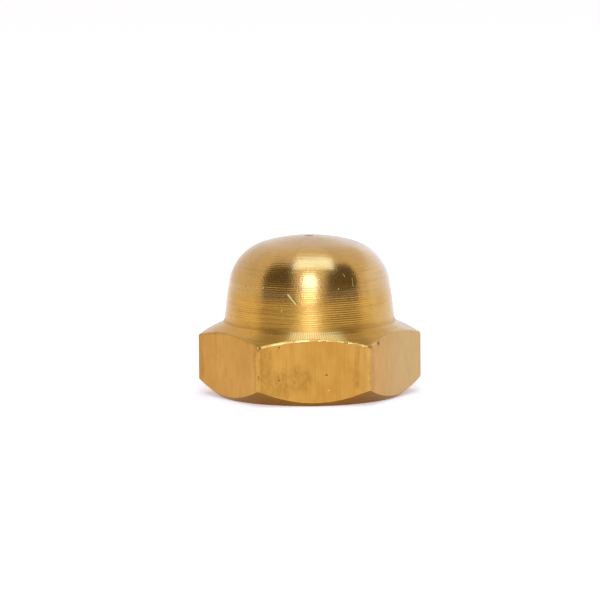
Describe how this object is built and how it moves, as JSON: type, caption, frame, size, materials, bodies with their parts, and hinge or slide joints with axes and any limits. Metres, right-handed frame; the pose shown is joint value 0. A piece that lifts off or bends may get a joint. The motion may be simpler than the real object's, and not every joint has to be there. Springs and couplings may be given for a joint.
{
  "type": "cap nut",
  "caption": "Low brass cap nut: hexagon base with chamfered edges, sloping shoulder and turned dome over a blind tapped hole.",
  "frame": {"origin": "centre of the bearing face, on the thread's axis", "axes": "+Z along the thread's axis up to the crown, two flats facing -Y and +Y, corners towards -X and +X"},
  "size_m": [0.0196, 0.017, 0.0139],
  "materials": {
    "brass": "bright turned dome and satin drawn flats"
  },
  "bodies": {
    "root": {"cap_nut": "brass"}
  },
  "joints": []
}
